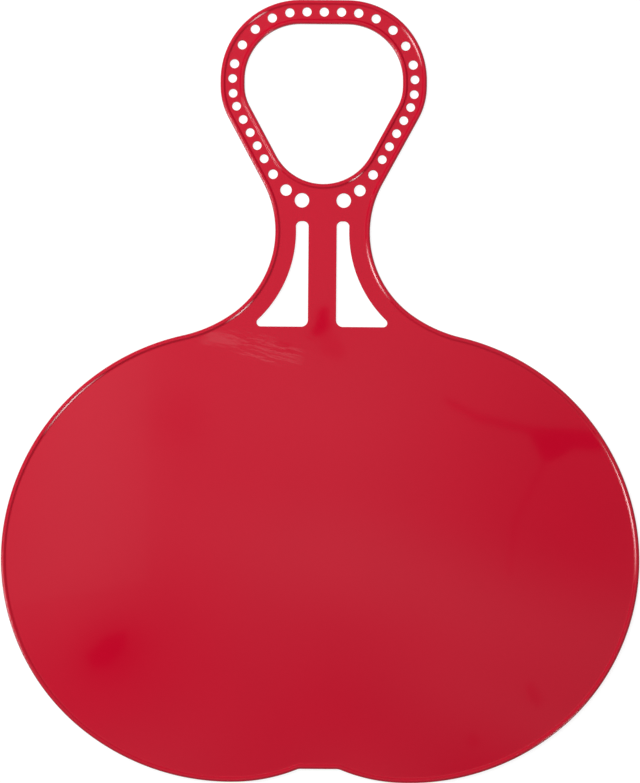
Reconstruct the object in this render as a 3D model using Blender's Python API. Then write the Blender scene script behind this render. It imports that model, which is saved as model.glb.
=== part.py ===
"""Snow slider: a flat moulded pan that is steered and pulled up by a loop handle.

The real object is a single piece of red polyethylene. It is built here as the five
zones of that piece which turn against each other when the neck bends: the seat pan,
the three neck straps between the windows, and the grip loop. It lies on its flat
underside at z = 0, with its length along Y, the loop at +Y, the rim pointing up and
the middle of its outline at the origin. All sizes are in metres and degrees.

The right half of every outline is a chain of arcs that touch each other. The straight
runs are what lies between two arcs, and the left half is the mirror image.
"""

import math
from collections import namedtuple

import bmesh
import bpy
import numpy as np
from mathutils import Matrix, Vector

# The section of the moulding
WEB_THICKNESS = 0.0025
RIM_HEIGHT = 0.0036
RIM_WIDTH = 0.0036
RIM_ROUNDING = 0.0009

# The pan, from the neck round to the tail
PAN_WIDTH = 0.400
SHOULDER_RADIUS = 0.146
SIDE_RADIUS = 0.137
HIP_RADIUS = 0.149
LOBE_RADIUS = 0.108
SHOULDER_START = 14.0
HIP_START = 53.0
LOBE_START = 92.0
TAIL_FLAT_WIDTH = 0.0228
TAIL_NOTCH_FILLET = 0.006

# The grip loop and the opening for the hand
OPENING_WIDTH = 0.099
OPENING_HEIGHT = 0.100
OPENING_TOP_RADIUS = 0.035
OPENING_KNEE_RADIUS = 0.027
OPENING_FOOT_RADIUS = 0.0335
OPENING_SIDE_STRAIGHT = 0.0037
GRIP_BAND = 0.0152

# The neck, its two windows and its three straps
NECK_WIDTH = 0.0594
NECK_RADIUS = 0.0635
FLARE_RADIUS = 0.086
FLARE_START = 55.0
BRIDGE_LENGTH = 0.0235
WINDOW_LENGTH = 0.066
SIDE_STRAP_WIDTH = 0.0131
CENTRE_STRAP_WIDTH = 0.0177
WINDOW_TOP_FILLET = 0.0032
WINDOW_INNER_FILLET = 0.0042
WINDOW_OUTER_FILLET = 0.0025

# The row of holes along the middle of the grip, from the top of the loop down each side.
# The steps are from centre to centre. Below the knee the holes go on at the side's pitch,
# and the last one is at least that pitch away from the bridge's first hole.
TOP_HOLE_DIAMETER = 0.0057
SIDE_HOLE_DIAMETER = 0.0054
TOP_HOLES_EACH_SIDE = 2
TOP_HOLE_PITCH = 0.0108
TOP_TO_CORNER_STEP = 0.0115
CORNER_HOLES = 4
CORNER_HOLE_PITCH = 0.0128
SIDE_HOLES = 2
SIDE_HOLE_PITCH = 0.0093
KNEE_STEP = 0.0084

# The three growing holes on each side of the bridge: diameter, angle below the
# horizontal through the middle of the opening's foot, and distance outside the line
# that runs along the middle of the grip
BRIDGE_HOLES = (
    (0.0059, 41.5, 0.0007),
    (0.0071, 58.4, 0.0030),
    (0.0090, 73.4, 0.0047),
)

# The flexing neck: the straps end inside the windows, past their rounded ends
STRAP_STUB = 0.005
PARTING_GAP = 0.0003

# How finely round edges are faceted, how far cutters reach past what they cut, how near
# points are welded, and how little a fold may turn for its two faces to become one
CHORD_SAG = 0.00012
HOLE_SIDES = 18
ROUNDING_STEPS = 1
CUTTER_REACH = 0.004
MERGE_DISTANCE = 0.000001
FLAT_ANGLE = 0.05

MOULDED_RED = (0.490, 0.002, 0.020, 1.0)
MOULDED_ROUGHNESS = 0.28

# bulge is 1 where the material lies inside the arc, and -1 where it lies outside
Arc = namedtuple("Arc", "centre radius start end bulge")
Hole = namedtuple("Hole", "centre diameter")


def direction(angle):
    """The unit vector at an angle in degrees from +X."""
    return np.array([math.cos(math.radians(angle)), math.sin(math.radians(angle))])


def angle_of(vector):
    """The angle in degrees of a vector from +X."""
    return math.degrees(math.atan2(vector[1], vector[0]))


def point(x, y):
    """A point in the plane of the pan."""
    return np.array([x, y])


class Plan:
    """The places of every arc, window, hole and parting line, worked out from the sizes.

    Everything is first laid out from the foot of the hand opening, at y = 0, and then
    moved along Y so that the outline's middle is at the origin.
    """

    def __init__(self):
        self.foot_centre = point(0.0, OPENING_FOOT_RADIUS)
        self.lay_out_opening()
        self.lay_out_outline()
        top = OPENING_HEIGHT + GRIP_BAND
        self.shift = point(0.0, -(top + self.tail) / 2)
        self.window_top = -BRIDGE_LENGTH
        self.window_bottom = self.window_top - WINDOW_LENGTH
        self.base_parting = self.window_bottom + STRAP_STUB + self.shift[1]
        self.top_parting = self.window_top - STRAP_STUB + self.shift[1]
        self.half_length = (top - self.tail) / 2

    def slant_offset(self, outside):
        """How far along its normal the slanted side lies, when moved outwards."""
        return self.slant_normal @ self.foot_centre + OPENING_FOOT_RADIUS + outside

    def on_slant(self, x, outside):
        """The y of the slanted side at x, when it is moved outwards."""
        return (self.slant_offset(outside) - self.slant_normal[0] * x) / self.slant_normal[1]

    def lay_out_opening(self):
        """The right half of the hand opening: top corner, knee and foot.

        A short upright run lies between corner and knee. The slanted side is the line
        that touches knee and foot, which sets how steep it is.
        """
        half = OPENING_WIDTH / 2
        corner = point(half - OPENING_TOP_RADIUS, OPENING_HEIGHT - OPENING_TOP_RADIUS)
        knee = point(half - OPENING_KNEE_RADIUS, corner[1] - OPENING_SIDE_STRAIGHT)
        to_knee = knee - self.foot_centre
        narrowing = (OPENING_FOOT_RADIUS - OPENING_KNEE_RADIUS) / math.hypot(*to_knee)
        self.slant = math.degrees(math.acos(narrowing)) - angle_of(to_knee)
        self.slant_normal = direction(-self.slant)
        self.corner_centre = corner
        self.knee_centre = knee
        self.opening = [
            Arc(corner, OPENING_TOP_RADIUS, 90.0, 0.0, 1),
            Arc(knee, OPENING_KNEE_RADIUS, 0.0, -self.slant, 1),
            Arc(self.foot_centre, OPENING_FOOT_RADIUS, -self.slant, -90.0, 1),
        ]

    def lay_out_outline(self):
        """The right half of the outer outline, from the top of the loop to the tail.

        The loop keeps its band outside the opening. The neck arc touches the slanted
        side and gives the narrowest width. The flare arc touches it and the shoulder,
        which sets how far below the loop the pan lies. At the tail a fillet joins each
        lobe to the flat between them, whose width sets how deep the notch is.
        """
        neck_x = NECK_WIDTH / 2 + NECK_RADIUS
        neck = point(neck_x, self.on_slant(neck_x, GRIP_BAND + NECK_RADIUS))
        flare = neck + (FLARE_RADIUS - NECK_RADIUS) * direction(FLARE_START)
        to_shoulder = (SIDE_RADIUS - SHOULDER_RADIUS) * direction(SHOULDER_START)
        shoulder_x = PAN_WIDTH / 2 - SIDE_RADIUS + to_shoulder[0]
        reach = FLARE_RADIUS + SHOULDER_RADIUS
        drop = math.sqrt(reach**2 - (flare[0] - shoulder_x) ** 2)
        shoulder = point(shoulder_x, flare[1] - drop)
        side = shoulder - to_shoulder
        hip = side + (SIDE_RADIUS - HIP_RADIUS) * direction(-HIP_START)
        lobe = hip + (HIP_RADIUS - LOBE_RADIUS) * direction(-LOBE_START)
        self.tail = lobe[1] - LOBE_RADIUS
        to_fillet = LOBE_RADIUS + TAIL_NOTCH_FILLET
        fillet_x = TAIL_FLAT_WIDTH / 2
        fillet_y = lobe[1] - math.sqrt(to_fillet**2 - (lobe[0] - fillet_x) ** 2)
        fillet = point(fillet_x, fillet_y)
        meeting = angle_of(flare - shoulder)
        lobe_end = angle_of(fillet - lobe)
        self.neck_centre = neck
        self.outline = [
            Arc(self.corner_centre, OPENING_TOP_RADIUS + GRIP_BAND, 90.0, 0.0, 1),
            Arc(self.knee_centre, OPENING_KNEE_RADIUS + GRIP_BAND, 0.0, -self.slant, 1),
            Arc(neck, NECK_RADIUS, 180.0 - self.slant, 180.0 + FLARE_START, -1),
            Arc(flare, FLARE_RADIUS, 180.0 + FLARE_START, 180.0 + meeting, -1),
            Arc(shoulder, SHOULDER_RADIUS, meeting, SHOULDER_START, 1),
            Arc(side, SIDE_RADIUS, SHOULDER_START, -HIP_START, 1),
            Arc(hip, HIP_RADIUS, -HIP_START, -LOBE_START, 1),
            Arc(lobe, LOBE_RADIUS, -LOBE_START, lobe_end, 1),
            Arc(fillet, TAIL_NOTCH_FILLET, lobe_end + 180.0, 90.0, -1),
        ]

    def window(self):
        """The right-hand window in the neck, a closed run of four fillets and an arc.

        Its inner side is the edge of the centre strap. Its outer side keeps the side
        strap's width from the neck arc, so the strap is as wide all along. The fillets
        at its narrow top end meet in a half circle if there is no room for more.
        """
        inner = CENTRE_STRAP_WIDTH / 2
        strap_radius = NECK_RADIUS + SIDE_STRAP_WIDTH
        above_neck = self.window_top - self.neck_centre[1]
        top_outer_x = self.neck_centre[0] - math.sqrt(strap_radius**2 - above_neck**2)
        top_fillet = min(WINDOW_TOP_FILLET, (top_outer_x - inner) / 2)

        def against_strap(y, fillet):
            """The centre of a fillet at height y that touches the strap's inner edge."""
            rise = y - self.neck_centre[1]
            return point(
                self.neck_centre[0] - math.sqrt((strap_radius + fillet) ** 2 - rise**2), y
            )

        top_outer = against_strap(self.window_top - top_fillet, top_fillet)
        foot_outer = against_strap(
            self.window_bottom + WINDOW_OUTER_FILLET, WINDOW_OUTER_FILLET
        )
        top_inner = point(inner + top_fillet, top_outer[1])
        foot_inner = point(
            inner + WINDOW_INNER_FILLET, self.window_bottom + WINDOW_INNER_FILLET
        )
        top_touch = angle_of(self.neck_centre - top_outer)
        foot_touch = angle_of(self.neck_centre - foot_outer)
        run = [
            Arc(top_inner, top_fillet, 180.0, 90.0, 1),
            Arc(top_outer, top_fillet, 90.0, top_touch, 1),
            Arc(self.neck_centre, strap_radius, 180.0 + top_touch, 180.0 + foot_touch, -1),
            Arc(foot_outer, WINDOW_OUTER_FILLET, foot_touch, -90.0, 1),
            Arc(foot_inner, WINDOW_INNER_FILLET, -90.0, -180.0, 1),
        ]
        return self.points(run, 0.0)

    def grip_holes(self):
        """The row of holes along the middle of the grip: the top one and the right half."""
        middle = GRIP_BAND / 2
        line = self.points(self.opening, -middle)
        line = np.vstack((line[0] * (0, 1), line))
        runs = np.linalg.norm(np.diff(line, axis=0), axis=1)
        along = np.concatenate(([0.0], np.cumsum(runs)))
        steps = [0.0] + [TOP_HOLE_PITCH] * TOP_HOLES_EACH_SIDE + [TOP_TO_CORNER_STEP]
        steps += [CORNER_HOLE_PITCH] * (CORNER_HOLES - 1)
        wide_holes = len(steps)
        steps += [SIDE_HOLE_PITCH] * SIDE_HOLES + [KNEE_STEP]
        first_of_bridge = BRIDGE_HOLES[0][1]
        bridge_length = (OPENING_FOOT_RADIUS + middle) * math.radians(90.0 - first_of_bridge)
        room = along[-1] - bridge_length - sum(steps)
        steps += [SIDE_HOLE_PITCH] * (math.floor(room / SIDE_HOLE_PITCH) - 1)
        places = np.cumsum(steps)
        centres = np.column_stack([np.interp(places, along, line[:, axis]) for axis in (0, 1)])
        sizes = [TOP_HOLE_DIAMETER] * wide_holes
        sizes += [SIDE_HOLE_DIAMETER] * (len(steps) - wide_holes)
        return [Hole(centre, size) for centre, size in zip(centres, sizes)]

    def holes(self):
        """Every hole: the row of the grip, the bridge's holes, and their mirror images."""
        top, *right = self.grip_holes()
        for diameter, angle, outside in BRIDGE_HOLES:
            radius = OPENING_FOOT_RADIUS + GRIP_BAND / 2 + outside
            centre = self.foot_centre + radius * direction(-angle)
            right.append(Hole(centre + self.shift, diameter))
        left = [Hole(hole.centre * (-1, 1), hole.diameter) for hole in right]
        return [top] + right + left

    def points(self, arcs, inset):
        """The points of a chain of arcs, each moved into the material by the inset."""
        runs = []
        for arc in arcs:
            step = 2 * math.acos(1 - CHORD_SAG / arc.radius)
            turn = math.radians(arc.end - arc.start)
            count = max(2, math.ceil(abs(turn) / step)) + 1
            angles = math.radians(arc.start) + turn * np.linspace(0.0, 1.0, count)
            radius = arc.radius - arc.bulge * inset
            around = np.column_stack((np.cos(angles), np.sin(angles)))
            runs.append(arc.centre + radius * around)
        return np.vstack(runs) + self.shift

    def closed(self, arcs, inset):
        """A whole outline: the right half, and its mirror image in the other order."""
        right = self.points(arcs, inset)
        return np.vstack((right, right[::-1] * (-1, 1)))


def clear_scene():
    """Removes what the file holds."""
    for old in list(bpy.data.objects):
        bpy.data.objects.remove(old, do_unlink=True)
    for old in list(bpy.data.collections):
        bpy.data.collections.remove(old)


def new_collection(name):
    """A collection in the scene."""
    collection = bpy.data.collections.new(name)
    bpy.context.scene.collection.children.link(collection)
    return collection


def moulded_plastic(name):
    """The glossy red polyethylene, as one material for one zone."""
    material = bpy.data.materials.new(name)
    material.use_nodes = True
    shader = material.node_tree.nodes["Principled BSDF"]
    shader.inputs["Base Color"].default_value = MOULDED_RED
    shader.inputs["Roughness"].default_value = MOULDED_ROUGHNESS
    shader.inputs["Metallic"].default_value = 0.0
    material.diffuse_color = MOULDED_RED
    return material


def as_mesh_object(name, source, collection):
    """A mesh object of what the source object shows, welded, in place of the source."""
    bpy.context.view_layer.update()
    depsgraph = bpy.context.evaluated_depsgraph_get()
    mesh = bpy.data.meshes.new_from_object(source.evaluated_get(depsgraph))
    mesh.transform(source.matrix_world)
    welder = bmesh.new()
    welder.from_mesh(mesh)
    bmesh.ops.remove_doubles(welder, verts=welder.verts, dist=MERGE_DISTANCE)
    bmesh.ops.recalc_face_normals(welder, faces=welder.faces)
    welder.to_mesh(mesh)
    welder.free()
    bpy.data.objects.remove(source, do_unlink=True)
    made = bpy.data.objects.new(name, mesh)
    collection.objects.link(made)
    return made


def join_flat_faces(mesh):
    """Joins the neighbouring faces that lie in one plane, and the edges in one line."""
    shape = bmesh.new()
    shape.from_mesh(mesh)
    bmesh.ops.dissolve_limit(
        shape, angle_limit=math.radians(FLAT_ANGLE), verts=shape.verts, edges=shape.edges
    )
    shape.to_mesh(mesh)
    shape.free()


def flat_solid(name, loops, bottom, top, collection, rounding=0.0):
    """A plate between two heights: a filled flat curve of closed loops, extruded.

    With a rounding, its long edges are rounded by that radius inside the same outline.
    """
    curve = bpy.data.curves.new(name, "CURVE")
    curve.dimensions = "2D"
    curve.fill_mode = "BOTH"
    curve.extrude = (top - bottom) / 2 - rounding
    curve.bevel_depth = rounding
    curve.bevel_resolution = ROUNDING_STEPS
    curve.offset = -rounding
    for loop in loops:
        spline = curve.splines.new("POLY")
        spline.points.add(len(loop) - 1)
        flat = np.zeros((len(loop), 4))
        flat[:, :2] = loop
        spline.points.foreach_set("co", flat.ravel())
        spline.use_cyclic_u = True
    source = bpy.data.objects.new(name + "_curve", curve)
    source.location.z = (top + bottom) / 2
    collection.objects.link(source)
    return as_mesh_object(name, source, collection)


def hole_loop(hole):
    """The corners of a round hole, as a closed loop in the web."""
    angles = np.linspace(0.0, 2 * math.pi, HOLE_SIDES, endpoint=False)
    around = np.column_stack((np.cos(angles), np.sin(angles)))
    return hole.centre + hole.diameter / 2 * around


def cutter_look(cutter):
    """Marks an object as a cutter, which isn't part of the slider."""
    cutter.hide_render = True
    cutter.display_type = "WIRE"
    return cutter


def block(name, low, high, collection):
    """A box between two corners, as a cutter."""
    mesh = bpy.data.meshes.new(name)
    shape = bmesh.new()
    size = Vector(high) - Vector(low)
    middle = (Vector(high) + Vector(low)) / 2
    place = Matrix.Translation(middle) @ Matrix.Diagonal((*size, 1.0))
    bmesh.ops.create_cube(shape, size=1.0, matrix=place)
    shape.to_mesh(mesh)
    shape.free()
    made = bpy.data.objects.new(name, mesh)
    collection.objects.link(made)
    return cutter_look(made)


def boolean(target, other, operation):
    """Adds one Boolean modifier.

    The solids share the plane of the underside and have thin flat faces, which the exact
    solver leaves open, so this is the manifold solver.
    """
    modifier = target.modifiers.new(operation.lower() + "_" + other.name, "BOOLEAN")
    modifier.operation = operation
    modifier.solver = "MANIFOLD"
    modifier.object = other
    return modifier


def whole_moulding(plan, cutters):
    """The slider before it is parted: the web with its windows and holes, and two rims.

    The web ends inside the rims, so that they share only the plane of the underside.
    """
    under_rim = RIM_WIDTH / 2
    right_window = plan.window()
    web_loops = [
        plan.closed(plan.outline, under_rim),
        plan.closed(plan.opening, -under_rim),
        right_window,
        right_window[::-1] * (-1, 1),
    ]
    web_loops += [hole_loop(hole) for hole in plan.holes()]
    web = flat_solid("web", web_loops, 0.0, WEB_THICKNESS, cutters)
    rims = {
        "outer_rim": (plan.outline, 0.0, RIM_WIDTH),
        "opening_rim": (plan.opening, -RIM_WIDTH, 0.0),
    }
    for name, (arcs, outer_inset, inner_inset) in rims.items():
        loops = [plan.closed(arcs, outer_inset), plan.closed(arcs, inner_inset)[::-1]]
        rim = flat_solid(name, loops, 0.0, RIM_HEIGHT, cutters, RIM_ROUNDING)
        boolean(web, cutter_look(rim), "UNION")
    moulding = as_mesh_object("moulding", web, cutters)
    join_flat_faces(moulding.data)
    return moulding


def zone_boxes(plan):
    """The box that holds each zone of the moulding, from one parting gap to the next."""
    far_x = PAN_WIDTH / 2 + CUTTER_REACH
    far_y = plan.half_length + CUTTER_REACH
    low_z = -CUTTER_REACH
    high_z = RIM_HEIGHT + CUTTER_REACH
    half_gap = PARTING_GAP / 2
    base = plan.base_parting
    top = plan.top_parting
    beside = CENTRE_STRAP_WIDTH / 2 + WINDOW_TOP_FILLET / 2
    return {
        "seat_pan": ((-far_x, -far_y, low_z), (far_x, base - half_gap, high_z)),
        "left_neck_strap": (
            (-far_x, base + half_gap, low_z),
            (-beside, top - half_gap, high_z),
        ),
        "centre_neck_strap": (
            (-beside, base + half_gap, low_z),
            (beside, top - half_gap, high_z),
        ),
        "right_neck_strap": (
            (beside, base + half_gap, low_z),
            (far_x, top - half_gap, high_z),
        ),
        "grip_loop": ((-far_x, top + half_gap, low_z), (far_x, far_y, high_z)),
    }


def hinge_line(name, y, collection, parent=None):
    """An empty on the line that the neck bends about, level with the top of the rim."""
    empty = bpy.data.objects.new(name, None)
    empty.empty_display_size = NECK_WIDTH / 2
    place = Vector((0.0, y, RIM_HEIGHT))
    empty.location = place - (parent.matrix_world.translation if parent else Vector())
    empty.parent = parent
    collection.objects.link(empty)
    bpy.context.view_layer.update()
    return empty


def zone(name, moulding, box, slider, cutters, axis):
    """One zone of the moulding: what its box holds, hung on the line it turns about."""
    low, high = box
    made = bpy.data.objects.new(name, moulding.data)
    slider.objects.link(made)
    boolean(made, block(name + "_box", low, high, cutters), "INTERSECT")
    made.data.materials.clear()
    made.data.materials.append(None)
    made.material_slots[0].link = "OBJECT"
    made.material_slots[0].material = moulded_plastic(name + "_polyethylene")
    if axis:
        made.parent = axis
        made.matrix_parent_inverse = axis.matrix_world.inverted()
    return made


def build():
    """Makes the whole slider."""
    clear_scene()
    slider = new_collection("snow_slider")
    cutters = new_collection("cutters")
    plan = Plan()
    moulding = cutter_look(whole_moulding(plan, cutters))
    neck_base = hinge_line("neck_base_flex_axis", plan.base_parting, slider)
    neck_top = hinge_line("neck_top_flex_axis", plan.top_parting, slider, neck_base)
    axes = {"seat_pan": None, "grip_loop": neck_top}
    for name, box in zone_boxes(plan).items():
        zone(name, moulding, box, slider, cutters, axes.get(name, neck_base))


build()
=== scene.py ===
"""Dresses the snow slider: one moulding of glossy red polyethylene on a white table.

The slider was made in one shot, so its surface runs on over the five solids that bend
against each other. It is worked out once, as a closed surface, and then parted half way
up the neck, where both halves follow the neck exactly. The half with the pan runs from
the seat to the neck, and the half with the loop from the neck to the handle. Neither
half is bent.

All sizes are in metres, angles in degrees, and everything lies in the frame's own axes:
+Y to the loop, +Z up, the underside at z = 0 and the middle of the outline at the origin.
"""

import logging
import math
from dataclasses import dataclass, field
from enum import Enum

import bmesh
import bpy
import numpy as np
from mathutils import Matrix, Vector
from mathutils.geometry import delaunay_2d_cdt


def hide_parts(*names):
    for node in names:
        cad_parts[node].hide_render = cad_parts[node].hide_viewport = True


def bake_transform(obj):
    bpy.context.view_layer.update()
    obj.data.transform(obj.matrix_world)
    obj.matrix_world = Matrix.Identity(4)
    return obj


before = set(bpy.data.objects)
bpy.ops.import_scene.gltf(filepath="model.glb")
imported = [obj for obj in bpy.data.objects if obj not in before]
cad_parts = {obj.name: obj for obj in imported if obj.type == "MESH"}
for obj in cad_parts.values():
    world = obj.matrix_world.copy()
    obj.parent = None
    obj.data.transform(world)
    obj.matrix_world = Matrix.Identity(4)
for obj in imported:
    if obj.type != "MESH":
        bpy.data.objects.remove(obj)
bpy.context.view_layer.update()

MILLIMETRE = 0.001
WELD_DECIMALS = 7
TOLERANCE = 1e-6
ON_CUT = 1e-8
CLOSEST_POINTS = 1e-9
ALL_OF_THE_PLANE = 0
LEVEL_SQUARE = ((-1, -1), (1, -1), (1, 1), (-1, 1))
UNIT_SQUARE = (0.0, 0.0, 1.0, 0.0, 1.0, 1.0, 0.0, 1.0)
SQUARE_MIDDLE = (0.5, 0.5)
FADING_SIDEWAYS = (0.5, 5.0)

log = logging.getLogger("snow_slider")

Place = tuple[float, float, float]
Turn = tuple[np.ndarray, np.ndarray, np.ndarray]


class Half(Enum):
    """The two halves that the moulding's surface is parted into, by name."""

    PAN = "moulded_pan"
    LOOP = "moulded_loop"


class Side(Enum):
    """On which side of a line in the plan the plastic lies when it bulges outwards."""

    INSIDE = 1
    OUTSIDE = -1


def direction(angle: float) -> np.ndarray:
    """The unit vector at an angle in degrees from +X."""
    return np.array([math.cos(math.radians(angle)), math.sin(math.radians(angle))])


def angle_of(vector: np.ndarray) -> float:
    """The angle in degrees of a vector from +X."""
    return math.degrees(math.atan2(vector[1], vector[0]))


def linear_colour(code: str) -> tuple[float, float, float, float]:
    """Turns an sRGB hex colour to linear light.

    Args:
        code: the colour, such as "#BA0526".

    Returns:
        Red, green, blue and an alpha of 1.
    """
    srgb = np.array([int(code[at : at + 2], 16) for at in (1, 3, 5)]) / 255
    linear = np.where(srgb <= 0.04045, srgb / 12.92, ((srgb + 0.055) / 1.055) ** 2.4)
    return (*linear.tolist(), 1.0)


def add_node(
    tree: bpy.types.NodeTree, kind: str, inputs: dict | None = None, **settings: object
) -> bpy.types.Node:
    """Adds a node with its settings and links.

    Args:
        tree: the node tree that it goes into.
        kind: the node's type.
        inputs: for each socket, by name or number, a value or the socket that feeds it.
        settings: the node's own properties.

    Returns:
        The new node.
    """
    node = tree.nodes.new(kind)
    for name, value in settings.items():
        setattr(node, name, value)
    for name, value in (inputs or {}).items():
        if isinstance(value, bpy.types.NodeSocket):
            tree.links.new(value, node.inputs[name])
        else:
            node.inputs[name].default_value = value
    return node


def laid_out(
    tree: bpy.types.NodeTree,
    place: bpy.types.NodeSocket,
    middle: Place,
    reach: tuple[float, float],
    turn: float,
) -> bpy.types.NodeSocket:
    """Gives places from a middle, along two turned axes, in units of two lengths.

    Args:
        tree: the node tree that it goes into.
        place: the place.
        middle: the place that becomes the origin.
        reach: the two lengths.
        turn: the angle of the first axis from +X.

    Returns:
        The socket with the new places.
    """
    placing = {
        "Vector": place,
        "Location": middle,
        "Rotation": (0.0, 0.0, math.radians(turn)),
        "Scale": (*reach, 1.0),
    }
    return add_node(tree, "ShaderNodeMapping", placing, vector_type="TEXTURE").outputs[0]


def fading(tree: bpy.types.NodeTree, place: bpy.types.NodeSocket) -> bpy.types.NodeSocket:
    """1 at the origin of places, and evenly down to 0 at a distance of 1."""
    kind = "ShaderNodeTexGradient"
    return add_node(tree, kind, {"Vector": place}, gradient_type="SPHERICAL").outputs["Fac"]


def noise(
    tree: bpy.types.NodeTree, place: bpy.types.NodeSocket, size: float, detail: float
) -> bpy.types.NodeSocket:
    """Soft noise with patches of a size."""
    inputs = {"Vector": place, "Scale": 1 / size, "Detail": detail}
    return add_node(tree, "ShaderNodeTexNoise", inputs).outputs["Fac"]


@dataclass(frozen=True)
class Arc:
    """A stretch of an outline: from one angle to another round a centre.

    bulge is 1 where the shape that the outline closes lies inside the arc, and -1 where
    it lies outside.
    """

    centre: np.ndarray
    radius: float
    start: float
    end: float
    bulge: int


@dataclass(frozen=True)
class Loop:
    """A closed line in the plan, and the way out of the plastic at each of its points."""

    points: np.ndarray
    out: np.ndarray

    def inset(self, distance: float) -> np.ndarray:
        """The same line, moved into the plastic."""
        return self.points - distance * self.out

    def mirrored(self) -> "Loop":
        """The mirror image on the other side of the slider's middle."""
        return Loop(self.points * (-1, 1), self.out * (-1, 1))


@dataclass(frozen=True)
class Section:
    """The edge of the moulding cut square: how far in and how high each point lies.

    The points run from the underside, round the edge, to the face, and so do the normals,
    whose first part points out of the plastic in the plan and whose second points up.
    """

    inset: np.ndarray
    height: np.ndarray
    normal: np.ndarray


@dataclass(frozen=True)
class Patch:
    """A stretch of surface: its points, their normals, and its faces."""

    points: np.ndarray
    normals: np.ndarray
    faces: np.ndarray

    def facing_out(self) -> "Patch":
        """The same patch, with its faces turned to the side that its normals point to."""
        corners = self.points[self.faces]
        across = corners[:, 2] - corners[:, 0]
        other = corners[:, -1] - corners[:, 1]
        agree = np.einsum("ij,ij->", np.cross(across, other), self.normals[self.faces[:, 0]])
        if agree >= 0:
            return self
        return Patch(self.points, self.normals, self.faces[:, ::-1])


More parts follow.
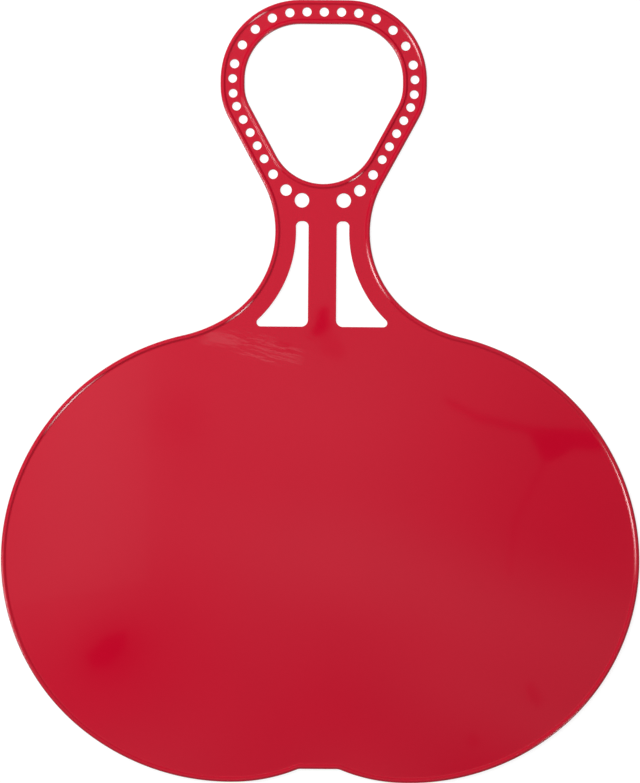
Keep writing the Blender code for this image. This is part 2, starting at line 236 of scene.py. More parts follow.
@dataclass
class Plan:
    """The slider seen from above: every arc, window and hole, from its driving sizes.

    Everything is laid out from the foot of the hand opening, at y = 0, and then moved
    along Y so that the outline's middle is at the origin. The right half is worked out,
    and the left half is its mirror image.
    """

    pan_width: float = 0.400
    shoulder_radius: float = 0.146
    side_radius: float = 0.137
    hip_radius: float = 0.149
    lobe_radius: float = 0.108
    shoulder_start: float = 14.0
    hip_start: float = 53.0
    lobe_start: float = 92.0
    tail_flat_width: float = 0.0228
    tail_fillet: float = 0.006

    opening_width: float = 0.099
    opening_height: float = 0.100
    top_radius: float = 0.035
    knee_radius: float = 0.027
    foot_radius: float = 0.0335
    side_straight: float = 0.0037
    grip_band: float = 0.0152

    neck_width: float = 0.0594
    neck_radius: float = 0.0635
    flare_radius: float = 0.086
    flare_start: float = 55.0
    bridge_length: float = 0.0235
    window_length: float = 0.066
    side_strap_width: float = 0.0131
    centre_strap_width: float = 0.0177
    window_top_fillet: float = 0.0032
    window_inner_fillet: float = 0.0042
    window_outer_fillet: float = 0.0025

    top_hole: float = 0.0057
    side_hole: float = 0.0054
    top_holes_each_side: int = 2
    top_pitch: float = 0.0108
    top_to_corner: float = 0.0115
    corner_holes: int = 4
    corner_pitch: float = 0.0128
    side_holes: int = 2
    side_pitch: float = 0.0093
    knee_step: float = 0.0084
    bridge_holes: tuple[Place, ...] = (
        (0.0059, 41.5, 0.0007),
        (0.0071, 58.4, 0.0030),
        (0.0090, 73.4, 0.0047),
    )

    longest_step: float = 0.0026
    hole_sides: int = 40
    fillet_turn: float = 7.0

    def __post_init__(self) -> None:
        """Works out the places of everything from the sizes."""
        self.foot = np.array([0.0, self.foot_radius])
        self.opening_arcs = self.lay_out_opening()
        self.outline_arcs = self.lay_out_outline()
        top = self.opening_height + self.grip_band
        self.shift = np.array([0.0, -(top + self.tail) / 2])
        self.window_top = -self.bridge_length
        self.window_foot = self.window_top - self.window_length

    def on_slant(self, x: float, outside: float) -> float:
        """The y of the opening's slanted side at x, when the side is moved outwards."""
        offset = self.slant_normal @ self.foot + self.foot_radius + outside
        return (offset - self.slant_normal[0] * x) / self.slant_normal[1]

    def lay_out_opening(self) -> list[Arc]:
        """The right half of the hand opening: top corner, knee and foot.

        The slanted side is the line that touches the knee and the foot.
        """
        half = self.opening_width / 2
        self.corner = np.array([half, self.opening_height]) - self.top_radius
        self.knee = np.array([half - self.knee_radius, self.corner[1] - self.side_straight])
        to_knee = self.knee - self.foot
        narrowing = (self.foot_radius - self.knee_radius) / math.hypot(*to_knee)
        self.slant = math.degrees(math.acos(narrowing)) - angle_of(to_knee)
        self.slant_normal = direction(-self.slant)
        return [
            Arc(self.corner, self.top_radius, 90.0, 0.0, 1),
            Arc(self.knee, self.knee_radius, 0.0, -self.slant, 1),
            Arc(self.foot, self.foot_radius, -self.slant, -90.0, 1),
        ]

    def lay_out_outline(self) -> list[Arc]:
        """The right half of the outer outline, from the top of the loop to the tail.

        Each centre lies where its arc touches the one before: at the sum of the radii
        from it where the line bends back, and at their difference where it bends on.
        """
        neck_x = self.neck_width / 2 + self.neck_radius
        neck = np.array([neck_x, self.on_slant(neck_x, self.grip_band + self.neck_radius)])
        flare = neck + (self.flare_radius - self.neck_radius) * direction(self.flare_start)
        to_shoulder = (self.side_radius - self.shoulder_radius) * direction(self.shoulder_start)
        shoulder_x = self.pan_width / 2 - self.side_radius + to_shoulder[0]
        reach = self.flare_radius + self.shoulder_radius
        drop = math.sqrt(reach**2 - (flare[0] - shoulder_x) ** 2)
        shoulder = np.array([shoulder_x, flare[1] - drop])
        side = shoulder - to_shoulder
        hip = side + (self.side_radius - self.hip_radius) * direction(-self.hip_start)
        lobe = hip + (self.hip_radius - self.lobe_radius) * direction(-self.lobe_start)
        self.tail = lobe[1] - self.lobe_radius
        to_fillet = self.lobe_radius + self.tail_fillet
        fillet_x = self.tail_flat_width / 2
        fillet = np.array([fillet_x, lobe[1] - math.sqrt(to_fillet**2 - (lobe[0] - fillet_x) ** 2)])
        meeting = angle_of(flare - shoulder)
        lobe_end = angle_of(fillet - lobe)
        self.neck = neck
        band = self.grip_band
        return [
            Arc(self.corner, self.top_radius + band, 90.0, 0.0, 1),
            Arc(self.knee, self.knee_radius + band, 0.0, -self.slant, 1),
            Arc(neck, self.neck_radius, 180.0 - self.slant, 180.0 + self.flare_start, -1),
            Arc(flare, self.flare_radius, 180.0 + self.flare_start, 180.0 + meeting, -1),
            Arc(shoulder, self.shoulder_radius, meeting, self.shoulder_start, 1),
            Arc(side, self.side_radius, self.shoulder_start, -self.hip_start, 1),
            Arc(hip, self.hip_radius, -self.hip_start, -self.lobe_start, 1),
            Arc(lobe, self.lobe_radius, -self.lobe_start, lobe_end, 1),
            Arc(fillet, self.tail_fillet, lobe_end + 180.0, 90.0, -1),
        ]

    def window_arcs(self) -> list[Arc]:
        """The right-hand window: four fillets, and the arc along the side strap."""
        inner = self.centre_strap_width / 2
        strap_radius = self.neck_radius + self.side_strap_width
        top_outer_x = self.neck[0] - math.sqrt(
            strap_radius**2 - (self.window_top - self.neck[1]) ** 2
        )
        top_fillet = min(self.window_top_fillet, (top_outer_x - inner) / 2)

        def against_strap(y: float, fillet: float) -> np.ndarray:
            """The centre at height y of a fillet that touches the strap's inner edge."""
            across = math.sqrt((strap_radius + fillet) ** 2 - (y - self.neck[1]) ** 2)
            return np.array([self.neck[0] - across, y])

        outer_fillet = self.window_outer_fillet
        inner_fillet = self.window_inner_fillet
        top_outer = against_strap(self.window_top - top_fillet, top_fillet)
        foot_outer = against_strap(self.window_foot + outer_fillet, outer_fillet)
        top_inner = np.array([inner + top_fillet, top_outer[1]])
        foot_inner = np.array([inner, self.window_foot]) + inner_fillet
        top_touch = angle_of(self.neck - top_outer)
        foot_touch = angle_of(self.neck - foot_outer)
        return [
            Arc(top_inner, top_fillet, 180.0, 90.0, 1),
            Arc(top_outer, top_fillet, 90.0, top_touch, 1),
            Arc(self.neck, strap_radius, 180.0 + top_touch, 180.0 + foot_touch, -1),
            Arc(foot_outer, outer_fillet, foot_touch, -90.0, 1),
            Arc(foot_inner, inner_fillet, -90.0, -180.0, 1),
        ]

    def trace(self, arcs: list[Arc], side: Side) -> Loop:
        """The points of a chain of arcs.

        A point at the angle a of an arc is its centre plus its radius times
        (cos a, sin a), and the way out of the plastic there is along that radius.

        Args:
            arcs: the chain, in order.
            side: on which side of the line the plastic is.

        Returns:
            The points and the way out of the plastic at each.
        """
        points = []
        out = []
        for arc in arcs:
            turn = abs(arc.end - arc.start)
            length = math.radians(turn) * arc.radius
            count = math.ceil(max(length / self.longest_step, turn / self.fillet_turn)) + 1
            angles = np.radians(np.linspace(arc.start, arc.end, max(count, 2)))
            around = np.column_stack((np.cos(angles), np.sin(angles)))
            points.append(arc.centre + arc.radius * around + self.shift)
            out.append(side.value * arc.bulge * around)
        return Loop(np.vstack(points), np.vstack(out))

    def closed(self, line: Loop) -> Loop:
        """Closes a line that may have long straight runs.

        Each run is split evenly into steps no longer than the longest step, and the way
        out is carried evenly along it.
        """
        to_next = np.roll(line.points, -1, axis=0) - line.points
        lengths = np.linalg.norm(to_next, axis=1)
        counts = np.ceil(lengths / self.longest_step - TOLERANCE).astype(int)
        first = np.repeat(np.arange(len(counts)), counts)
        step = np.arange(counts.sum()) - np.repeat(np.cumsum(counts) - counts, counts)
        share = (step / counts[first])[:, None]
        points = line.points[first] + share * to_next[first]
        turned = line.out[first] + share * (np.roll(line.out, -1, axis=0) - line.out)[first]
        return Loop(points, turned / np.linalg.norm(turned, axis=1, keepdims=True))

    def whole(self, arcs: list[Arc], side: Side) -> Loop:
        """A line round the whole slider: the right half and its mirror image."""
        right = self.trace(arcs, side)
        left = right.mirrored()
        return self.closed(
            Loop(
                np.vstack((right.points, left.points[::-1])),
                np.vstack((right.out, left.out[::-1])),
            )
        )

    def holes(self) -> list[Loop]:
        """Every round hole: the row along the middle of the grip, and the bridge's three.

        The row is stepped off along the line half a band outside the opening, from the
        top of the loop, and goes on down the side to a pitch before the bridge's first.
        """
        middle = self.grip_band / 2
        half = self.trace(self.opening_arcs, Side.OUTSIDE)
        line = half.inset(middle)
        line = np.vstack((line[0] * (0, 1), line))
        along = np.append(0.0, np.cumsum(np.linalg.norm(np.diff(line, axis=0), axis=1)))
        steps = [0.0] + [self.top_pitch] * self.top_holes_each_side + [self.top_to_corner]
        steps += [self.corner_pitch] * (self.corner_holes - 1)
        wide = len(steps)
        steps += [self.side_pitch] * self.side_holes + [self.knee_step]
        bridge_angle = math.radians(90.0 - self.bridge_holes[0][1])
        room = along[-1] - (self.foot_radius + middle) * bridge_angle - sum(steps)
        steps += [self.side_pitch] * (math.floor(room / self.side_pitch) - 1)
        places = np.cumsum(steps)
        centres = [np.interp(places, along, line[:, axis]) for axis in (0, 1)]
        sizes = [self.top_hole] * wide + [self.side_hole] * (len(steps) - wide)
        right = list(zip(np.column_stack(centres), sizes))
        for size, angle, outside in self.bridge_holes:
            reach = self.foot_radius + middle + outside
            right.append((self.foot + reach * direction(-angle) + self.shift, size))
        loops = [self.round_hole(centre, size) for centre, size in right]
        return loops + [loop.mirrored() for loop in loops[1:]]

    def round_hole(self, centre: np.ndarray, size: float) -> Loop:
        """A circle of one hole, with the plastic outside it."""
        angles = np.linspace(0.0, 2 * math.pi, self.hole_sides, endpoint=False)
        around = np.column_stack((np.cos(angles), np.sin(angles)))
        return Loop(centre + size / 2 * around, -around)


@dataclass
class Edges:
    """The section of the moulding at its rims, and at its windows and holes.

    The rim is a low bead: from its crown it slopes down to the web in a rounding and a
    fillet. The edges of windows and holes are only broken.
    """

    web: float = 0.0025
    rim_height: float = 0.0036
    lower_rounding: float = 0.0006
    outer_rounding: float = 0.0017
    crown_end: float = 0.00175
    inner_rounding: float = 0.0009
    slope: float = 45.0
    foot_fillet: float = 0.0013
    broken_edge: float = 0.00025
    turn_steps: int = 7

    def rounding(
        self, inset: float, height: float, radius: float, start: float, end: float
    ) -> Turn:
        """A rounding or, with a negative radius, a fillet.

        The normal at the angle a is (cos a, sin a), and the point is the centre plus the
        radius times the normal.

        Args:
            inset: how far in its centre lies.
            height: how high its centre lies.
            radius: its radius, below zero for a fillet.
            start: the angle where it begins.
            end: the angle where it ends.

        Returns:
            Insets, heights and normals along the turn.
        """
        angles = np.radians(np.linspace(start, end, self.turn_steps))
        normal = np.column_stack((np.cos(angles), np.sin(angles)))
        return inset - radius * normal[:, 0], height + radius * normal[:, 1], normal

    def join(self, turns: list[Turn]) -> Section:
        """A section of several turns with straight runs between them."""
        inset, height, normal = (np.concatenate(part) for part in zip(*turns))
        return Section(inset, height, normal)

    def rim(self) -> Section:
        """The raised rim: outer wall, crown, inner rounding, slope and foot fillet."""
        low = self.lower_rounding
        high = self.outer_rounding
        face = 90.0 + self.slope
        steepness = math.radians(self.slope)
        top_turn = self.rim_height - self.inner_rounding
        foot_centre = self.web + self.foot_fillet
        turns = self.inner_rounding + self.foot_fillet
        straight = self.rim_height - self.web - turns * (1 - math.cos(steepness))
        run = turns * math.sin(steepness) + straight / math.tan(steepness)
        foot_inset = self.crown_end + run
        return self.join(
            [
                self.rounding(low, low, low, -90.0, 0.0),
                self.rounding(high, self.rim_height - high, high, 0.0, 90.0),
                self.rounding(self.crown_end, top_turn, self.inner_rounding, 90.0, face),
                self.rounding(foot_inset, foot_centre, -self.foot_fillet, face, 90.0),
            ]
        )

    def plain(self) -> Section:
        """The edge of a window or a hole: a wall with both its corners broken."""
        turn = self.broken_edge
        return self.join(
            [
                self.rounding(turn, turn, turn, -90.0, 0.0),
                self.rounding(turn, self.web - turn, turn, 0.0, 90.0),
            ]
        )


@dataclass
class Moulding:
    """The whole surface of the slider, and its two halves."""

    plan: Plan = field(default_factory=Plan)
    edges: Edges = field(default_factory=Edges)
    grid_step: float = 0.004
    grid_clearance: float = 0.0016
    hinge_inset: float = 0.005
    bend_reach: float = 0.011

    def carried(self, loop: Loop, section: Section) -> Patch:
        """The section carried along a closed line.

        The point at station s and section point k is the line's point at s, moved into
        the plastic by the inset of k and up by its height.
        """
        stations, steps = len(loop.points), len(section.inset)
        flat = loop.points[:, None] - section.inset[None, :, None] * loop.out[:, None]
        height = np.broadcast_to(section.height[None, :, None], (stations, steps, 1))
        sideways = loop.out[:, None] * section.normal[None, :, :1]
        upwards = np.broadcast_to(section.normal[None, :, 1:], (stations, steps, 1))
        index = np.arange(stations * steps).reshape(stations, steps)
        beyond = np.roll(index, -1, axis=0)
        corners = (index[:, :-1], index[:, 1:], beyond[:, 1:], beyond[:, :-1])
        return Patch(
            np.concatenate((flat, height), axis=2).reshape(-1, 3),
            np.concatenate((sideways, upwards), axis=2).reshape(-1, 3),
            np.stack(corners, axis=-1).reshape(-1, 4),
        ).facing_out()

    def web_face(self, lines: list[np.ndarray], height: float, up: float) -> Patch:
        """The flat face of the web between closed lines, filled with even triangles.

        A regular grid of points is kept where it lies in the plastic and clear of the
        lines, and the plane is divided into triangles that keep every line as an edge.

        Args:
            lines: the outer line first, then the opening, windows and holes.
            height: the z of the face.
            up: 1 for the upper face, and -1 for the underside.

        Returns:
            The face as a patch.
        """
        border = np.vstack(lines)
        ends = np.cumsum([len(line) for line in lines])
        after = np.arange(1, len(border) + 1)
        after[ends - 1] = np.append(0, ends[:-1])
        points = np.vstack((border, self.clear_grid(border, after)))
        runs = np.column_stack((np.arange(len(border)), after))
        made = delaunay_2d_cdt(
            points.tolist(), runs.tolist(), [], ALL_OF_THE_PLANE, CLOSEST_POINTS, False
        )
        if len(made[0]) != len(points):
            raise ValueError("the lines of the web cross each other")
        triangles = np.array(made[2])
        triangles = triangles[self.within(points[triangles].mean(axis=1), border, after)]
        places = np.column_stack((points, np.full(len(points), height)))
        normals = np.tile((0.0, 0.0, up), (len(points), 1))
        return Patch(places, normals, triangles).facing_out()

    def within(self, places: np.ndarray, border: np.ndarray, after: np.ndarray) -> np.ndarray:
        """Which places lie in the plastic.

        A place does when a ray along +X from it crosses the border an odd number of times.

        Args:
            places: the places in the plan.
            border: the points of every closed line.
            after: for each point of the border, the number of the next on its line.

        Returns:
            True for each place in the plastic.
        """
        start, end = border, border[after]
        above = start[None, :, 1] > places[:, None, 1]
        crosses = above != (end[None, :, 1] > places[:, None, 1])
        rise = np.where(start[:, 1] == end[:, 1], 1.0, end[:, 1] - start[:, 1])
        slope = (end[:, 0] - start[:, 0]) / rise
        meets = start[None, :, 0] + (places[:, None, 1] - start[None, :, 1]) * slope
        return (crosses & (meets > places[:, None, 0])).sum(axis=1) % 2 == 1

    def clear_grid(self, border: np.ndarray, after: np.ndarray) -> np.ndarray:
        """The points of a regular grid that lie in the plastic, clear of its border."""
        low, high = border.min(axis=0), border.max(axis=0)
        step = self.grid_step
        columns = np.arange(low[0] + step / 2, high[0], step)
        rows = np.arange(low[1] + step / 2, high[1], step)
        grid = np.stack(np.meshgrid(columns, rows), axis=-1)
        grid[1::2, :, 0] += step / 2
        grid = grid.reshape(-1, 2)
        grid = grid[self.within(grid, border, after)]
        apart = (grid**2).sum(axis=1)[:, None] + (border**2).sum(axis=1) - 2 * grid @ border.T
        return grid[apart.min(axis=1) > self.grid_clearance**2]

    def patches(self) -> list[Patch]:
        """Every stretch of the surface: rims, edges of windows and holes, and two faces."""
        outline = self.plan.whole(self.plan.outline_arcs, Side.INSIDE)
        opening = self.plan.whole(self.plan.opening_arcs, Side.OUTSIDE)
        window = self.plan.closed(self.plan.trace(self.plan.window_arcs(), Side.OUTSIDE))
        rim, plain = self.edges.rim(), self.edges.plain()
        rimmed = [outline, opening]
        cut = [window, window.mirrored(), *self.plan.holes()]
        made = [self.carried(loop, rim) for loop in rimmed]
        made += [self.carried(loop, plain) for loop in cut]
        for end, up in ((-1, 1.0), (0, -1.0)):
            lines = [loop.inset(rim.inset[end]) for loop in rimmed]
            lines += [loop.inset(plain.inset[end]) for loop in cut]
            made.append(self.web_face(lines, plain.height[end], up))
        return made

    def whole_mesh(self) -> bpy.types.Mesh:
        """The closed surface of the whole slider, with its true normals as an attribute.

        The patches share the points along their edges.
        """
        patches = self.patches()
        starts = np.cumsum([0] + [len(patch.points) for patch in patches])
        points = np.vstack([patch.points for patch in patches])
        normals = np.vstack([patch.normals for patch in patches])
        _, first, same = np.unique(
            np.round(points, WELD_DECIMALS), axis=0, return_index=True, return_inverse=True
        )
        points, normals, same = points[first], normals[first], same.ravel()
        normals /= np.linalg.norm(normals, axis=1, keepdims=True)
        faces = [same[patch.faces + start] for patch, start in zip(patches, starts)]
        corners = np.concatenate([face.ravel() for face in faces])
        sizes = np.concatenate([np.full(len(face), face.shape[1]) for face in faces])
        mesh = bpy.data.meshes.new("whole_moulding")
        mesh.vertices.add(len(points))
        mesh.vertices.foreach_set("co", points.ravel())
        mesh.loops.add(len(corners))
        mesh.loops.foreach_set("vertex_index", corners)
        mesh.polygons.add(len(sizes))
        mesh.polygons.foreach_set("loop_start", np.cumsum(sizes) - sizes)
        mesh.update(calc_edges=True)
        true_normal = mesh.attributes.new("true_normal", "FLOAT_VECTOR", "POINT")
        true_normal.data.foreach_set("vector", normals.ravel())
        return mesh

    def parting(self) -> float:
        """The y half way up the windows, where the surface is parted."""
        return (self.plan.window_top + self.plan.window_foot) / 2 + self.plan.shift[1]

    def half_mesh(self, whole: bpy.types.Mesh, half: Half) -> bpy.types.Mesh:
        """One half of the surface, cut square across the neck and closed there.

        Args:
            whole: the whole surface.
            half: which half is kept.

        Returns:
            A closed mesh with the surface's own normals, and flat faces at the cut.
        """
        height = self.parting()
        keep_pan = half is Half.PAN
        outwards = 1.0 if keep_pan else -1.0
        shape = bmesh.new()
        shape.from_mesh(whole)
        cut = bmesh.ops.bisect_plane(
            shape,
            geom=[*shape.verts, *shape.edges, *shape.faces],
            dist=ON_CUT,
            plane_co=(0.0, height, 0.0),
            plane_no=(0.0, 1.0, 0.0),
            clear_outer=keep_pan,
            clear_inner=not keep_pan,
        )
        edges = [part for part in cut["geom_cut"] if isinstance(part, bmesh.types.BMEdge)]
        filled = bmesh.ops.triangle_fill(shape, use_beauty=True, edges=edges)
        for face in filled["geom"]:
            if isinstance(face, bmesh.types.BMFace) and face.normal.y * outwards < 0:
                face.normal_flip()
        mesh = bpy.data.meshes.new(half.value)
        shape.to_mesh(mesh)
        shape.free()
        self.set_normals(mesh, outwards)
        return mesh

    def set_normals(self, mesh: bpy.types.Mesh, outwards: float) -> None:
        """Gives each corner of the mesh the surface's own normal, and the cut its flat one."""
        mesh.shade_smooth()
        count = len(mesh.vertices)
        points = np.empty(count * 3)
        mesh.vertices.foreach_get("co", points)
        normals = np.empty(count * 3)
        mesh.attributes["true_normal"].data.foreach_get("vector", normals)
        vertex = np.empty(len(mesh.loops), dtype=int)
        mesh.loops.foreach_get("vertex_index", vertex)
        starts = np.empty(len(mesh.polygons), dtype=int)
        mesh.polygons.foreach_get("loop_start", starts)
        off_cut = np.abs(points.reshape(-1, 3)[:, 1] - self.parting())
        at_cut = np.maximum.reduceat(off_cut[vertex], starts) < TOLERANCE
        sizes = np.diff(np.append(starts, len(vertex)))
        corner_normals = normals.reshape(-1, 3)[vertex]
        corner_normals[np.repeat(at_cut, sizes)] = (0.0, outwards, 0.0)
        mesh.attributes.remove(mesh.attributes["true_normal"])
        mesh.normals_split_custom_set(corner_normals.tolist())

    def build(self, material: bpy.types.Material) -> dict[Half, bpy.types.Object]:
        """Makes both halves, bakes their placement, and hides the imported pan, neck straps and
        loop.
        """
        whole = self.whole_mesh()
        made = {}
        for half in Half:
            mesh = self.half_mesh(whole, half)
            mesh.materials.append(material)
            piece = bpy.data.objects.new(half.value, mesh)
            bpy.context.scene.collection.objects.link(piece)
            made[half] = piece
            log.info("%s: %d faces", piece.name, len(mesh.polygons))
        bpy.data.meshes.remove(whole)
        self.hang(made)
        return made

    def hang(self, made: dict[Half, bpy.types.Object]) -> None:
        """Bakes each half's placement into its mesh, and hides the imported pan, neck straps and
        loop.

        The hinge levels, a little inside the two ends of the windows, are worked out, but the
        straps are not bent round them.
        """
        for half, below, above, level in (
            (Half.PAN, "seat", "neck", self.plan.window_foot + self.hinge_inset),
            (Half.LOOP, "neck", "handle", self.plan.window_top - self.hinge_inset),
        ):
            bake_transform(made[half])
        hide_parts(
            "seat_pan",
            "left_neck_strap",
            "centre_neck_strap",
            "right_neck_strap",
        )
        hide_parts("grip_loop")


@dataclass(frozen=True)
class MouldedPolyethylene:
    """Polyethylene, injection moulded and coloured right through.

    It came out of a polished steel mould: the eye gets a clean deep red, with the white
    room mirrored faintly in it and sharp thin lights along the rounded rims.
    """

    name: str = "moulded_red_polyethylene"
    pigment: str = "#BA0526"
    ior: float = 1.5
    roughness: float = 0.035
    cloud_size: float = 60 * MILLIMETRE
    cloud_depth: float = 0.03
    peel_size: float = 9 * MILLIMETRE
    peel_height: float = 0.002 * MILLIMETRE
    flow_middle: tuple[float, float] = (-0.040, 0.029)
    flow_reach: tuple[float, float] = (0.046, 0.016)
    flow_turn: float = -13.0
    flow_size: tuple[float, float] = (28 * MILLIMETRE, 5 * MILLIMETRE)
    flow_height: float = 0.05 * MILLIMETRE

    def material(self) -> bpy.types.Material:
        """The plastic as a material."""
        material = bpy.data.materials.new(self.name)
        material.use_nodes = True
        tree = material.node_tree
        shader = tree.nodes["Principled BSDF"]
        place = add_node(tree, "ShaderNodeTexCoord").outputs["Object"]
        clouds = noise(tree, place, self.cloud_size, 2.0)
        pigment = linear_colour(self.pigment)
        paler = tuple(min(1.0, part * (1 + self.cloud_depth)) for part in pigment[:3]) + (1.0,)
        deeper = tuple(part * (1 - self.cloud_depth) for part in pigment[:3]) + (1.0,)
        colour = add_node(
            tree,
            "ShaderNodeMix",
            {"Factor": clouds, "A": deeper, "B": paler},
            data_type="RGBA",
        )
        peel = noise(tree, place, self.peel_size, 1.0)
        peel_bump = add_node(
            tree,
            "ShaderNodeBump",
            {"Height": peel, "Distance": self.peel_height, "Strength": 1.0},
        )
        tree.links.new(colour.outputs[2], shader.inputs["Base Color"])
        tree.links.new(self.flow_marks(tree, place, peel_bump), shader.inputs["Normal"])
        shader.inputs["Roughness"].default_value = self.roughness
        shader.inputs["IOR"].default_value = self.ior
        return material

    def flow_marks(
        self, tree: bpy.types.NodeTree, place: bpy.types.NodeSocket, under: bpy.types.Node
    ) -> bpy.types.NodeSocket:
        """The faint ripples at the root of the neck, where the melt ran on into the pan.

        Args:
            tree: the material's node tree.
            place: the place on the slider.
            under: the bump that they lie on.

        Returns:
            The normal with the ripples in it.
        """
        middle = (*self.flow_middle, 0.0)
        along_flow = laid_out(tree, place, middle, self.flow_size, self.flow_turn)
        within_marks = laid_out(tree, place, middle, self.flow_reach, self.flow_turn)
        height = add_node(
            tree,
            "ShaderNodeMath",
            {0: noise(tree, along_flow, 1.0, 2.0), 1: fading(tree, within_marks)},
            operation="MULTIPLY",
        )
        marks = add_node(
            tree,
            "ShaderNodeBump",
            {
                "Height": height.outputs[0],
                "Distance": self.flow_height,
                "Strength": 1.0,
                "Normal": under.outputs["Normal"],
            },
        )
        return marks.outputs["Normal"]


def shine(
    material: bpy.types.Material, light: float | bpy.types.NodeSocket
) -> bpy.types.Material:
    """Lets a blank material give off its own light, evenly or as a socket says."""
    tree = material.node_tree
    glow = add_node(tree, "ShaderNodeEmission", {"Strength": light})
    add_node(tree, "ShaderNodeOutputMaterial", {"Surface": glow.outputs[0]})
    return material


def blank_material(name: str) -> bpy.types.Material:
    """A material with no nodes yet."""
    material = bpy.data.materials.new(name)
    material.use_nodes = True
    material.node_tree.nodes.clear()
    return material


class Effect(Enum):
    """What a piece of the studio does to the slider."""

    LIGHTS = "lights its colour"
    MIRRORED = "is mirrored in its gloss"

    def give(self, piece: bpy.types.Object) -> bpy.types.Object:
        """Lets a piece do only this, and returns it."""
        piece.visible_diffuse = self is Effect.LIGHTS
        piece.visible_glossy = self is Effect.MIRRORED
        piece.visible_shadow = self is Effect.LIGHTS
        return piece


def place_at(azimuth: float, elevation: float, distance: float) -> Place:
    """A place by its azimuth from +X, its elevation, and its distance from the origin."""
    across = distance * math.cos(math.radians(elevation)) * direction(azimuth)
    return (*across.tolist(), distance * math.sin(math.radians(elevation)))


@dataclass(frozen=True)
class Glow:
    """A soft patch of light or, below zero, of shade.

    It fades from its middle to its reach along its two axes.
    """

    middle: tuple[float, float]
    reach: tuple[float, float]
    turn: float
    strength: float

    def strength_at(
        self, tree: bpy.types.NodeTree, place: bpy.types.NodeSocket, height: float, scale: float
    ) -> bpy.types.NodeSocket:
        """The light of this patch at a place.

        Args:
            tree: the node tree that it is worked out in.
            place: the place.
            height: the height of the plane that the patch lies in.
            scale: how many times larger that plane is than the one it is given in.

        Returns:
            The socket that gives the light.
        """
        middle = (*(scale * part for part in self.middle), height)
        reach = tuple(scale * part for part in self.reach)
        moved = laid_out(tree, place, middle, reach, self.turn)
        eased = add_node(
            tree,
            "ShaderNodeMapRange",
            {"Value": fading(tree, moved), "To Max": self.strength},
            interpolation_type="SMOOTHSTEP",
        )
        return eased.outputs[0]


@dataclass(frozen=True)
class Card:
    """A flat card of the studio that faces the slider and glows.

    A soft card glows most in its middle and fades out to both sides.
    """

    name: str
    centre: Place
    size: tuple[float, float]
    radiance: float
    effect: Effect
    soft: bool = False

    def build(self) -> bpy.types.Object:
        """Makes the card, turned to face the slider."""
        middle = Vector(self.centre)
        towards = -middle.normalized()
        across = towards.cross(Vector((0.0, 0.0, 1.0))).normalized()
        up = across.cross(towards)
        half_across, half_up = across * self.size[0] / 2, up * self.size[1] / 2
        corners = [
            middle - half_across - half_up,
            middle + half_across - half_up,
            middle + half_across + half_up,
            middle - half_across + half_up,
        ]
        return self.effect.give(stage_piece(self.name, corners, self.material()))

    def material(self) -> bpy.types.Material:
        """The card's light, laid out in the square that its own corners span."""
        material = blank_material(self.name)
        if not self.soft:
            return shine(material, self.radiance)
        tree = material.node_tree
        place = add_node(tree, "ShaderNodeTexCoord").outputs["UV"]
        bell = Glow(SQUARE_MIDDLE, FADING_SIDEWAYS, 0.0, self.radiance)
        return shine(material, bell.strength_at(tree, place, 0.0, 1.0))


@dataclass(frozen=True)
class Panel:
    """A flat shape below the ceiling, which the gloss shows with sharp edges.

    Its corners are given on the pan, where the gloss shows them. It lets through a share
    of the light above it and adds its own, so that a black one has a share of 0.
    """

    name: str
    height: float
    shown: tuple[tuple[float, float], ...]
    share: float = 0.0
    radiance: float = 0.0

    def build(self, camera_height: float) -> bpy.types.Object:
        """Makes the panel, level, below the ceiling over a camera at a height."""
        widening = 1 + self.height / camera_height
        corners = [Vector((x * widening, y * widening, self.height)) for x, y in self.shown]
        material = blank_material(self.name)
        tree = material.node_tree
        through = add_node(
            tree, "ShaderNodeBsdfTransparent", {"Color": (self.share,) * 3 + (1.0,)}
        )
        shine = add_node(tree, "ShaderNodeEmission", {"Strength": self.radiance})
        both = add_node(
            tree, "ShaderNodeAddShader", {0: through.outputs[0], 1: shine.outputs[0]}
        )
        add_node(tree, "ShaderNodeOutputMaterial", {"Surface": both.outputs[0]})
        return Effect.MIRRORED.give(stage_piece(self.name, corners, material))


@dataclass(frozen=True)
class Ceiling:
    """The unevenly lit ceiling over the camera, which the flat pan mirrors.

    A flat pan shows a camera at the height c, in the point p, the ceiling at the height h
    in the point p times (1 + h / c).
    """

    height: float = 2.4
    size: float = 3.4
    evenly: float = 0.445
    glows: tuple[Glow, ...] = (
        Glow((-0.149, 0.039), (0.078, 0.300), -2.0, 0.25),
        Glow((0.108, -0.132), (0.266, 0.052), -16.0, 0.14),
        Glow((-0.134, -0.176), (0.134, 0.083), 22.0, -0.29),
        Glow((-0.020, -0.211), (0.092, 0.163), -45.0, -0.21),
        Glow((0.164, -0.077), (0.162, 0.196), -2.0, -0.27),
        Glow((-0.091, -0.017), (0.032, 0.031), -20.0, -0.10),
        Glow((-0.021, -0.003), (0.126, 0.064), -6.0, 0.06),
        Glow((0.148, -0.280), (0.200, 0.068), -33.0, -0.37),
        Glow((-0.131, -0.162), (0.036, 0.030), 35.0, -0.12),
    )

    def build(self, camera_height: float) -> bpy.types.Object:
        """Makes the ceiling over a camera at a height."""
        material = blank_material("ceiling")
        tree = material.node_tree
        widening = 1 + self.height / camera_height
        place = add_node(tree, "ShaderNodeTexCoord").outputs["Object"]
        light = self.evenly
        for glow in self.glows:
            added = glow.strength_at(tree, place, self.height, widening)
            light = add_node(
                tree, "ShaderNodeMath", {0: added, 1: light}, operation="ADD"
            ).outputs[0]
        lit = add_node(tree, "ShaderNodeMath", {0: light, 1: 0.0}, operation="MAXIMUM")
        shine(material, lit.outputs[0])
        corners = level_square(self.size, self.height)
        return Effect.MIRRORED.give(stage_piece("ceiling", corners, material))


def level_square(size: float, height: float) -> list[Vector]:
    """The corners of a level square over the origin."""
    return [Vector((x * size / 2, y * size / 2, height)) for x, y in LEVEL_SQUARE]


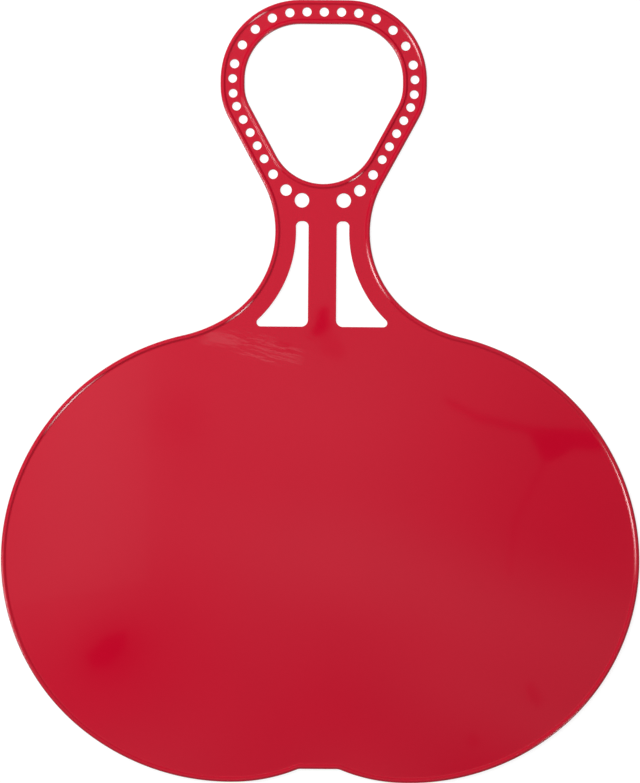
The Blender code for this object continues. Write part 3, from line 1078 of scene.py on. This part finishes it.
def stage_piece(
    name: str, corners: list[Vector], material: bpy.types.Material
) -> bpy.types.Object:
    """A flat piece of the studio between four corners, unseen by the camera."""
    mesh = bpy.data.meshes.new(name)
    mesh.from_pydata([tuple(corner) for corner in corners], [], [tuple(range(len(corners)))])
    if len(corners) == 4:
        mesh.uv_layers.new().data.foreach_set("uv", UNIT_SQUARE)
    return put_on_stage(mesh, material)


def put_on_stage(mesh: bpy.types.Mesh, material: bpy.types.Material) -> bpy.types.Object:
    """Puts a mesh of the studio in the scene, unseen by the camera."""
    mesh.materials.append(material)
    made = bpy.data.objects.new(mesh.name, mesh)
    bpy.context.scene.collection.objects.link(made)
    made.visible_camera = False
    return made


@dataclass
class Studio:
    """A white table, soft light round it, and the camera straight above.

    One card lights the plastic's colour from the upper left. On either side a high card
    draws the lights on the rounded rims, and a low one those on the rims' inner slopes.
    The panels are dark and bright shapes that the pan shows: what looks like the arm of a
    stand with its clamp and cable, a stub, and blots and gleams round them.
    """

    camera_height: float = 1.8
    view_height: float = 0.4902
    view_middle: tuple[float, float] = (-0.00088, -0.00018)
    rim_height: float = 0.0024
    roll: float = 0.437
    sensor: float = 36.0
    table_size: float = 12.0
    table_drop: float = 0.00005
    table_colour: str = "#7C7C7C"
    table_glow: float = 0.86
    surround: float = 0.33
    mirrored_room: float = 0.22
    room_radius: float = 5.5
    cards: tuple[Card, ...] = (
        Card("key_card", (-0.51, 0.44, 1.1), (0.9, 0.9), 7.4, Effect.LIGHTS),
        Card("left_strip", place_at(199.8, 47, 3.5), (1.93, 1.3), 7.5, Effect.MIRRORED, True),
        Card("left_low", place_at(199.8, 6.0, 3.5), (2.83, 0.6), 14.0, Effect.MIRRORED, True),
        Card("right_strip", place_at(310, 47, 3.5), (1.0, 1.3), 5.0, Effect.MIRRORED, True),
        Card("right_low", place_at(310, 6.0, 3.5), (1.49, 0.6), 12.0, Effect.MIRRORED, True),
    )
    ceiling: Ceiling = Ceiling()
    panels: tuple[Panel, ...] = (
        Panel("arm", 2.2, ((0.078, -0.003), (0.098, -0.013), (0.132, -0.021), (0.149, -0.022),
            (0.149, -0.025), (0.131, -0.026), (0.098, -0.018), (0.078, -0.006)), 0.4),
        Panel("clamp", 2.2, ((0.128, -0.021), (0.149, -0.022), (0.171, -0.023),
            (0.182, -0.031), (0.174, -0.036), (0.159, -0.035), (0.151, -0.040),
            (0.144, -0.043), (0.138, -0.041), (0.134, -0.032)), 0.12),
        Panel("cable", 2.2, ((0.140, -0.040), (0.144, -0.041), (0.124, -0.081),
            (0.120, -0.115), (0.118, -0.115), (0.121, -0.080)), 0.65),
        Panel("stub", 2.2, ((-0.000, 0.053), (0.005, 0.053), (0.004, 0.049), (0.006, 0.042),
            (0.005, 0.039), (-0.002, 0.034), (-0.008, 0.036), (-0.004, 0.041), (-0.003, 0.048))),
        Panel("stub_shade", 2.2, ((-0.003, 0.035), (0.007, 0.038), (0.016, 0.026),
            (0.012, 0.019), (0.002, 0.024)), 0.68),
        Panel("left_blot", 2.2, ((-0.146, -0.166), (-0.134, -0.155), (-0.120, -0.151),
            (-0.121, -0.161), (-0.131, -0.173), (-0.142, -0.175)), 0.25),
        Panel("low_blot", 2.2, ((0.130, -0.181), (0.135, -0.182), (0.141, -0.193),
            (0.138, -0.197), (0.131, -0.192)), 0.6),
        Panel("small_blot", 2.2, ((0.094, -0.214), (0.100, -0.214), (0.101, -0.221),
            (0.095, -0.222)), 0.6),
        Panel("left_window", 2.2, ((-0.251, 0.101), (-0.108, 0.101), (-0.108, -0.120),
            (-0.251, -0.146)), 1.0, 0.05),
        Panel("root_gleam", 2.2, ((-0.077, 0.029), (-0.071, 0.036), (-0.058, 0.038),
            (-0.045, 0.031), (-0.033, 0.028), (-0.012, 0.022), (-0.012, 0.017),
            (-0.037, 0.020), (-0.052, 0.025), (-0.065, 0.029)), 1.0, 0.7),
        Panel("root_dark", 2.2, ((-0.060, 0.038), (-0.047, 0.036), (-0.037, 0.031),
            (-0.019, 0.031), (-0.011, 0.027), (-0.026, 0.025), (-0.040, 0.028),
            (-0.051, 0.032)), 0.5),
        Panel("root_line", 2.2, ((-0.046, 0.034), (-0.025, 0.034), (-0.025, 0.032),
            (-0.046, 0.032)), 1.0, 0.8),
    )

    def table(self) -> None:
        """A large matt table, pale grey, that glows so that it shows white all over.

        The slider's gloss mirrors it, but it adds no light to the slider's colour.
        """
        material = bpy.data.materials.new("white_table")
        material.use_nodes = True
        shader = material.node_tree.nodes["Principled BSDF"]
        shader.inputs["Base Color"].default_value = linear_colour(self.table_colour)
        shader.inputs["Roughness"].default_value = 1.0
        shader.inputs["Specular IOR Level"].default_value = 0.0
        shader.inputs["Emission Color"].default_value = (1.0, 1.0, 1.0, 1.0)
        shader.inputs["Emission Strength"].default_value = self.table_glow
        corners = level_square(self.table_size, -self.table_drop)
        made = stage_piece("white_table", corners, material)
        made.visible_camera = True
        made.visible_diffuse = False

    def room(self) -> None:
        """The pale room round the table.

        It lights the slider evenly from everywhere, and a dimmer shell is mirrored in it.
        """
        world = bpy.data.worlds.new("pale_room")
        world.use_nodes = True
        light = world.node_tree.nodes["Background"]
        light.inputs["Color"].default_value = (1.0, 1.0, 1.0, 1.0)
        light.inputs["Strength"].default_value = self.surround
        world.cycles_visibility.glossy = False
        bpy.context.scene.world = world
        shape = bmesh.new()
        bmesh.ops.create_icosphere(shape, subdivisions=4, radius=self.room_radius)
        mesh = bpy.data.meshes.new("mirrored_room")
        shape.to_mesh(mesh)
        shape.free()
        material = shine(blank_material("mirrored_room"), self.mirrored_room)
        Effect.MIRRORED.give(put_on_stage(mesh, material))

    def camera(self) -> None:
        """The camera, looking straight down through a long lens.

        At the height of the rim it takes in the height of the view, so that its lens is
        the sensor's height times the distance over the view's height. Its roll and the
        middle of its view are those of the photograph.
        """
        optics = bpy.data.cameras.new("camera")
        optics.sensor_width = self.sensor
        optics.lens = self.sensor * (self.camera_height - self.rim_height) / self.view_height
        camera = bpy.data.objects.new("camera", optics)
        camera.location = (*self.view_middle, self.camera_height)
        camera.rotation_euler = (0.0, 0.0, math.radians(self.roll))
        bpy.context.scene.collection.objects.link(camera)
        bpy.context.scene.camera = camera

    def build(self) -> None:
        """Sets up the whole studio."""
        bpy.context.scene.view_settings.view_transform = "Standard"
        self.table()
        self.room()
        for card in self.cards:
            card.build()
        self.ceiling.build(self.camera_height)
        for panel in self.panels:
            panel.build(self.camera_height)
        self.camera()


def main() -> None:
    """Builds the slider and its studio."""
    logging.basicConfig(level=logging.INFO, format="%(message)s")
    plastic = MouldedPolyethylene().material()
    Moulding().build(plastic)
    Studio().build()


if __name__ == "__main__":
    main()
